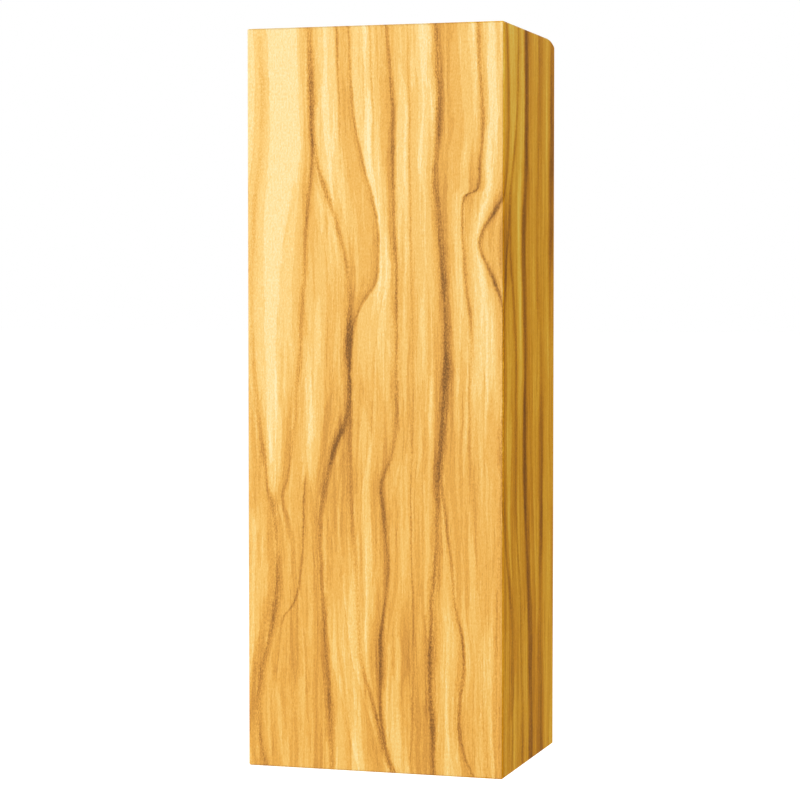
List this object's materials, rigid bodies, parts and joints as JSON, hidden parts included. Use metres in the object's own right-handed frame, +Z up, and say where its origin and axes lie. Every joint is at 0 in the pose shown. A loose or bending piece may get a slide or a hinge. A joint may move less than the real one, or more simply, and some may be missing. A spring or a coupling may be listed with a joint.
{
  "type": "mezuzah case",
  "caption": "Plain olive-wood block mezuzah that hangs on a concealed dovetail back plate and holds a parchment scroll in a bore closed by a push-fit base plug.",
  "frame": {"origin": "on the face of the back plate that lies against the doorpost, midway between the two screws and at half the height of the block", "axes": "+Z up along the block, +Y into the doorpost, so the show face looks along -Y; +X to the right of someone facing the show face"},
  "size_m": [0.043, 0.0493, 0.12],
  "materials": {
    "olive_wood": "sanded and oiled, satin",
    "brass_screw": "machined, bright",
    "natural_plastic": "natural translucent, moulded",
    "clear_plastic": "clear, extruded",
    "parchment": "scraped parchment, matt"
  },
  "bodies": {
    "hanger": {"back_plate": "olive_wood", "upper_mounting_screw": "brass_screw", "lower_mounting_screw": "brass_screw"},
    "block": {"case_body": "olive_wood"},
    "scroll_holder": {"base_plug": "olive_wood", "lower_tube_cap": "natural_plastic", "scroll_tube": "clear_plastic", "upper_tube_cap": "natural_plastic", "parchment_scroll": "parchment"}
  },
  "joints": [
    {"name": "case_lift", "type": "slide", "parent": "hanger", "child": "block", "axis": [0, 0, 1], "range_m": [0, 0.116]},
    {"name": "scroll_draw", "type": "slide", "parent": "block", "child": "scroll_holder", "axis": [0, 0, -1], "range_m": [0, 0.109]}
  ]
}
